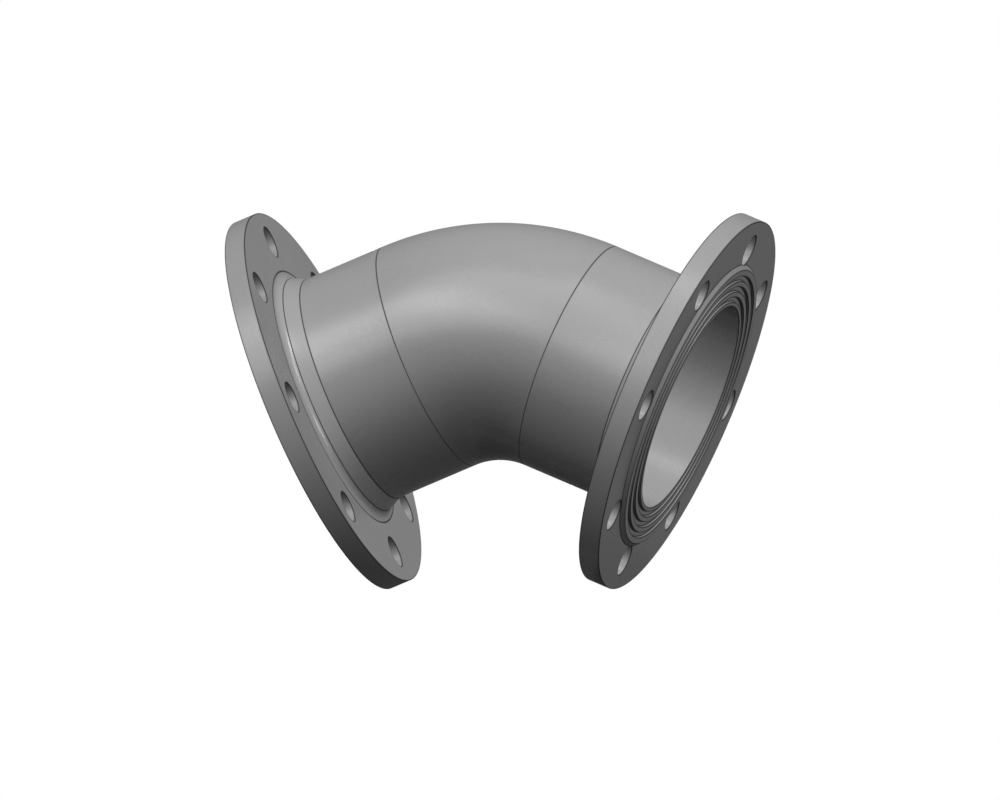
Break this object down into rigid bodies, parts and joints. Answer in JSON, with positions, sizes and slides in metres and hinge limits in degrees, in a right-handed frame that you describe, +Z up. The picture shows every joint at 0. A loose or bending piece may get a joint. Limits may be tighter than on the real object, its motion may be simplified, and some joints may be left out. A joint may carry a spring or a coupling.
{
  "type": "double flanged bend",
  "caption": "Cast pipe bend that turns a pipeline through forty-five degrees, with a drilled flange, a tapered hub and a grooved raised face on each end.",
  "frame": {"origin": "Centre of the overall box on the ground plane, on which the lowest points of both rims stand.", "axes": "+Z up, along the line that halves the bend. +X from one flange to the other, +Y across the bend. The two pipe axes lie in the XZ plane and run out and down at 22.5 degrees below X."},
  "size_m": [0.3854, 0.2848, 0.2694],
  "materials": {
    "casting": "smooth grey casting with turned sealing faces"
  },
  "bodies": {
    "root": {"bend_casting": "casting"}
  },
  "joints": []
}
